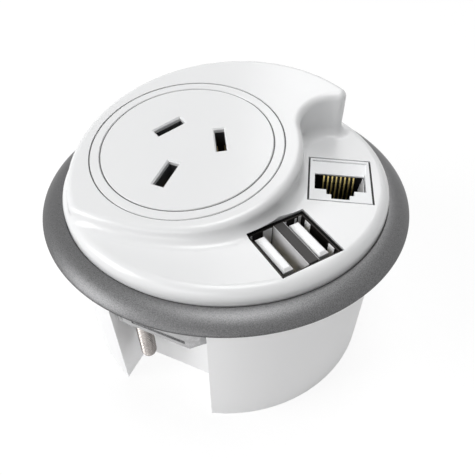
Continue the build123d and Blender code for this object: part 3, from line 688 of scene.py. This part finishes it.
# Jack wires: eight gold-plated spring wires that start under the shelf and run down into
# the dark, held apart by a black comb.
def row_tree(name, material):
    """A tree that repeats a piece along a straight row, centred on its place."""
    tree, sizes = start_tree(name, (("Count", "Int"), ("Start", "Vector"), ("Step", "Vector")))
    row = tree.nodes.new("GeometryNodeMeshLine")
    tree.links.new(sizes["Count"], row.inputs["Count"])
    tree.links.new(sizes["Start"], row.inputs["Start Location"])
    tree.links.new(sizes["Step"], row.inputs["Offset"])
    place = tree.nodes.new("GeometryNodeInstanceOnPoints")
    tree.links.new(row.outputs["Mesh"], place.inputs["Points"])
    tree.links.new(sizes["Geometry"], place.inputs["Instance"])
    return end_tree(tree, place.outputs["Instances"], material)


def repeat_in_row(piece, count, step, place, material):
    """Repeats a piece made at the origin, then puts the row in its place."""
    start = [-(count - 1) / 2 * axis for axis in step]
    tree = row_tree(piece.name + "_row", material)
    run_tree(piece, tree, {"Count": count, "Start": start, "Step": step})
    piece.data.transform(place)


def sweep_strip(name, points, half_width, half_thick, material):
    """A flat wire along points in the y-z plane, in millimetres."""
    shape = bmesh.new()
    sections = []
    for here, (y, z) in enumerate(points):
        before, after = points[max(0, here - 1)], points[min(len(points) - 1, here + 1)]
        run = Vector((0.0, after[0] - before[0], after[1] - before[1])).normalized()
        across = Vector((0.0, -run[2], run[1])) * half_thick
        section = []
        for side, lift in ((-1, -1), (1, -1), (1, 1), (-1, 1)):
            corner = Vector((side * half_width, y, z)) + lift * across
            section.append(shape.verts.new(corner * mm))
        sections.append(section)
    for first, second in zip(sections, sections[1:]):
        for here in range(4):
            after = (here + 1) % 4
            shape.faces.new((first[here], first[after], second[after], second[here]))
    shape.faces.new(list(reversed(sections[0])))
    shape.faces.new(sections[-1])
    bmesh.ops.recalc_face_normals(shape, faces=shape.faces)
    return new_piece(name, shape, material)


wire_gold = drawn_metal("wire_gold", (0.56, 0.45, 0.18), 0.34, (1.0, 0.2, 1.0), 0.000001)
wire_step = (0.00102, 0.0, 0.0)
wire_count = 8
wire_half_width, wire_half_thick = 0.17, 0.14
comb_half_width, comb_half_thick = 0.2, 0.3
wire_bends = [
    (2.9, -1.35), (2.6, -1.85), (2.2, -2.7), (1.85, -3.6), (1.6, -4.6), (1.45, -6.0), (1.4, -10.9)
]
wires = sweep_strip("jack_wires", wire_bends, wire_half_width, wire_half_thick, wire_gold)
repeat_in_row(wires, wire_count, wire_step, jack_place, wire_gold)
fit(wires, "module", "jack_contacts")
comb_bends = [(3.0, -1.6), (2.6, -2.6), (2.45, -4.6), (2.4, -7.0), (2.4, -10.9)]
comb = sweep_strip("jack_wire_comb", comb_bends, comb_half_width, comb_half_thick, jack_black)
repeat_in_row(comb, wire_count - 1, wire_step, jack_place, jack_black)
fit(comb, "module", None)

# Twin charging port: a shell of sheet steel, folded round both ports and open at the top,
# where the plugs go in. Its near-black colour is painted shade inside the port.
# Near-black steel: painted shade on the port's inner walls and rim.
port_steel = drawn_metal("port_steel", (0.036, 0.033, 0.031), 0.42, (1.0, 1.0, 0.1), 0.000002)
port_centre = (0.0234, -0.0175, deck_height)
port_turn = math.radians(54.4)
port_place = Matrix.Translation(port_centre) @ Matrix.Rotation(port_turn, 4, "Z")
shell_half_x, shell_half_y = 7.25, 6.9
shell_wall = 0.42
shell_low, shell_top = -14.4, -0.75
shell = bmesh.new()
add_sleeve(shell, port_place, shell_half_x, shell_half_y, shell_wall, shell_low, shell_top)
port_shell = new_piece("port_shell", shell, port_steel)
round_edges(port_shell, edge=0.08)
fit(port_shell, "module", "usb_shell")

# Port gap shade: a thin sleeve of black plastic that fills the gap between the shell and the
# cover, just below the deck, painted shade of that gap.
gap_shade_sleeve_half_x, gap_shade_sleeve_half_y = 7.46, 7.11
gap_shade_sleeve_wall = 0.18
gap_shade_sleeve_low, gap_shade_sleeve_top = -2.0, -0.35
gap_shade_sleeve = bmesh.new()
add_sleeve(gap_shade_sleeve, port_place, gap_shade_sleeve_half_x, gap_shade_sleeve_half_y, gap_shade_sleeve_wall, gap_shade_sleeve_low, gap_shade_sleeve_top)
# Black sleeve: painted shade in the gap round the shell.
port_liner = new_piece("port_liner", gap_shade_sleeve, jack_black)
fit(port_liner, "module", None)

# Spring leaves: two tongues of the shell's sheet on its right wall, bent in and left bright,
# that bear on a plug.
spring_bright = moulded_plastic(
    "spring_bright", (0.85, 0.85, 0.86), 0.25, 1500.0, 0.000002, drift=0.08
)
leaf_face, leaf_back = 6.6, 6.78
leaf_half_width = 0.95
leaf_low, leaf_top = -5.4, -0.98
leaves = bmesh.new()
for y in (-4.4, 3.9):
    near, far = y - leaf_half_width, y + leaf_half_width
    add_block(leaves, port_place, (leaf_face, near, leaf_low), (leaf_back, far, leaf_top))
spring_leaves = new_piece("port_spring_leaves", leaves, spring_bright)
round_edges(spring_leaves, edge=0.06)
fit(spring_leaves, "module", None)

# End plates: tinned sheet inside the shell's far wall, punched with windows, so that it shows
# as a row of bright strips.
port_tin = moulded_plastic("port_tin", (0.74, 0.74, 0.75), 0.45, 1500.0, 0.000003, drift=0.12)
sheet_gap, sheet_reach = 0.01, 0.12
plate_back = shell_half_y - shell_wall - sheet_gap
plate_front = shell_half_y - shell_wall - sheet_reach
plate_low = -9.0
plates = bmesh.new()
for left, right, top in (
    (-6.6, -6.1, -1.0), (-3.3, -1.0, -0.95), (1.9, 2.7, -0.95), (5.0, 5.5, -1.1), (6.0, 6.75, -0.95)
):
    add_block(plates, port_place, (left, plate_front, plate_low), (right, plate_back, top))
end_plates = new_piece("port_end_plates", plates, port_tin)
fit(end_plates, "module", None)

# Web between the two ports: a dark moulding that stands in the shell, with a cheek of tinned
# sheet on each side.
port_black = moulded_plastic(
    "port_black", (0.055, 0.053, 0.052), 0.5, 1500.0, 0.000004, drift=0.2, specular=0.2
)
web_left, web_right = -0.62, 1.82
web_half_length = 6.45
web_low, web_top = -14.3, -0.45
web = bmesh.new()
low, high = (web_left, -web_half_length, web_low), (web_right, web_half_length, web_top)
add_block(web, port_place, low, high)
port_web = new_piece("port_web", web, port_black)
round_edges(port_web, edge=0.2)
fit(port_web, "module", "usb_centre_web")
cheek_low, cheek_top = -9.0, -0.62
cheeks = bmesh.new()
for left, right in (
    (web_left - sheet_reach, web_left - sheet_gap),
    (web_right + sheet_gap, web_right + sheet_reach),
):
    low, high = (left, -web_half_length, cheek_low), (right, web_half_length, cheek_top)
    add_block(cheeks, port_place, low, high)
web_cheeks = new_piece("port_web_cheeks", cheeks, port_tin)
fit(web_cheeks, "module", None)

# Tongues: white mouldings that carry the ports' gilt contacts and stand in the carrier at the
# bottom. Their tops are bevelled to lead a plug in.
tongue_white = moulded_plastic("tongue_white", (0.97, 0.975, 0.98), 0.22, 1500.0, 0.000002)
tongue_foot = ((-1.25, -5.4), (1.25, -5.4), (1.25, 5.4), (-1.25, 5.4))
tongue_crest = ((-0.7, -4.75), (0.72, -4.75), (0.72, 4.85), (-0.7, 4.85))
tongue_low, tongue_shoulder, tongue_top = -14.3, -1.35, -0.8
tongues = bmesh.new()
for centre in (-4.9, 4.0):
    rows = []
    for outline, z in (
        (tongue_foot, tongue_low), (tongue_foot, tongue_shoulder), (tongue_crest, tongue_top)
    ):
        rows.append([
            tongues.verts.new(port_place @ (Vector((centre + x, y, z)) * mm)) for x, y in outline
        ])
    for lower, upper in zip(rows, rows[1:]):
        for here in range(4):
            after = (here + 1) % 4
            tongues.faces.new((lower[here], lower[after], upper[after], upper[here]))
    tongues.faces.new(list(reversed(rows[0])))
    tongues.faces.new(rows[-1])
port_tongues = new_piece("port_tongues", tongues, tongue_white)
round_edges(port_tongues, edge=0.06, smooth=15.0)
fit(port_tongues, "module", "usb_tongues")
finish("usb_carrier", port_black)
finish("usb_contacts", wire_gold)

# Under the deck: a plastic plate, screwed to the cover, that holds the jack and the port up,
# and the green charger board that hangs from it with its transformer and capacitors.
finish("port_retainer", grey_plastic)
for screws in ("retainer_screws", "board_screws"):
    finish(screws, zinc_steel)
board_green = moulded_plastic("board_green", (0.02, 0.11, 0.045), 0.3, 1300.0, 0.000004, drift=0.15)
finish("charger_board", board_green)
core_dark = moulded_plastic("core_dark", (0.05, 0.05, 0.055), 0.6, 1600.0, 0.00001, drift=0.2)
finish("charger_transformer", core_dark)
can_metal = drawn_metal("can_metal", (0.7, 0.71, 0.72), 0.35, (1.0, 1.0, 0.2), 0.000002)
finish("charger_capacitors", can_metal)

# Desk clamps: a long steel screw in each notch turns a nut up and down, and the cast arm on
# the nut swings out under the desk top. The nut and the arm are cast steel, left bare.
cast_metal = drawn_metal("cast_metal", (0.46, 0.46, 0.465), 0.2, (1.0, 1.0, 1.0), 0.000002)
screw_steel = drawn_metal("screw_steel", (0.36, 0.335, 0.32), 0.26, (1.0, 1.0, 0.3), 0.000002)
thread_pitch = 0.0007
thread_depth = 0.00034
thread_crest = 0.002
thread_steps = 8
thread_sides = 32
thread_lead_in = 1.5 * thread_pitch
thread_sharp = math.radians(50.0)
flank_slope, crest_width = 1.6, 0.3
clamp_head_height = 0.0023
head_overlap = 0.0001
panel_least_area = 0.00005
panel_margin = 1.1
panel_depth = 0.28
die_reach = 1.0
side_lean = 0.05


def cut_thread(node, name):
    """The screw with a real helical thread from under its head to its end, in metres."""
    screw = fair_copy(node, name, screw_steel)
    low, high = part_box(node)
    x, y = (low[0] + high[0]) / 2, (low[1] + high[1]) / 2
    thread_low, thread_high = low[2], high[2] - clamp_head_height + head_overlap
    shape = bmesh.new()
    shape.from_mesh(screw.data)
    shank = [corner for corner in shape.verts if corner.co.z < thread_high - 2 * head_overlap]
    bmesh.ops.delete(shape, geom=shank, context="VERTS")
    bmesh.ops.holes_fill(shape, edges=shape.edges)
    length = thread_high - thread_low
    stations = round(length / thread_pitch * thread_steps)
    rows = []
    for station in range(stations + 1):
        z = length * station / stations
        lead_in = min(1.0, z / thread_lead_in)
        row = []
        for side in range(thread_sides):
            turn = side / thread_sides
            phase = (z / thread_pitch - turn) % 1.0
            flank = min(1.0, max(0.0, flank_slope * abs(2.0 * phase - 1.0) - crest_width))
            radius = thread_crest - thread_depth * max(flank, 1.0 - lead_in)
            spot = on_circle(radius, 360.0 * turn, thread_low + z)
            row.append(shape.verts.new(Vector((x, y, 0.0)) + Vector(spot)))
        rows.append(row)
    for lower, upper in zip(rows, rows[1:]):
        for side in range(thread_sides):
            after = (side + 1) % thread_sides
            shape.faces.new((lower[side], lower[after], upper[after], upper[side]))
    shape.faces.new(list(reversed(rows[0])))
    shape.faces.new(rows[-1])
    shape.to_mesh(screw.data)
    shape.free()
    screw.data.shade_smooth()
    screw.data.set_sharp_from_angle(angle=thread_sharp)
    return screw


def press_panels(piece):
    """Sinks a shallow panel into the two long sides, as a die leaves it."""
    shape = bmesh.new()
    shape.from_mesh(piece.data)
    dies = bmesh.new()
    for face in shape.faces:
        if abs(face.normal.z) >= side_lean or face.calc_area() <= panel_least_area:
            continue
        along = face.normal.cross(Vector((0.0, 0.0, 1.0)))
        place = Matrix((along, face.normal, (0.0, 0.0, 1.0))).transposed().to_4x4()
        points = [place.inverted() @ corner.co / mm for corner in face.verts]
        left, right = min(point.x for point in points), max(point.x for point in points)
        bottom, top = min(point.z for point in points), max(point.z for point in points)
        tooth_root = min(point.z for point in points if point.z > (bottom + top) / 2)
        low = (left + panel_margin, points[0].y - panel_depth, bottom + panel_margin)
        high = (right - panel_margin, points[0].y + die_reach, tooth_root - panel_margin)
        add_block(dies, place, low, high)
    shape.free()
    cut_away(piece, dies)


for side in ("front", "rear"):
    arm = fair_copy(f"clamp_arm_{side}", f"cast_arm_{side}", cast_metal)
    press_panels(arm)
    round_edges(arm, edge=0.2)
    fit(arm, f"clamp_arm_{side}", f"clamp_arm_{side}")
    nut = fair_copy(f"clamp_nut_{side}", f"cast_nut_{side}", cast_metal)
    round_edges(nut, edge=0.2)
    fit(nut, f"clamp_nut_{side}", f"clamp_nut_{side}")
    screw = cut_thread(f"clamp_screw_{side}", f"long_screw_{side}")
    fit(screw, f"clamp_screw_{side}", f"clamp_screw_{side}")
    finish(f"clamp_washer_{side}", zinc_steel)
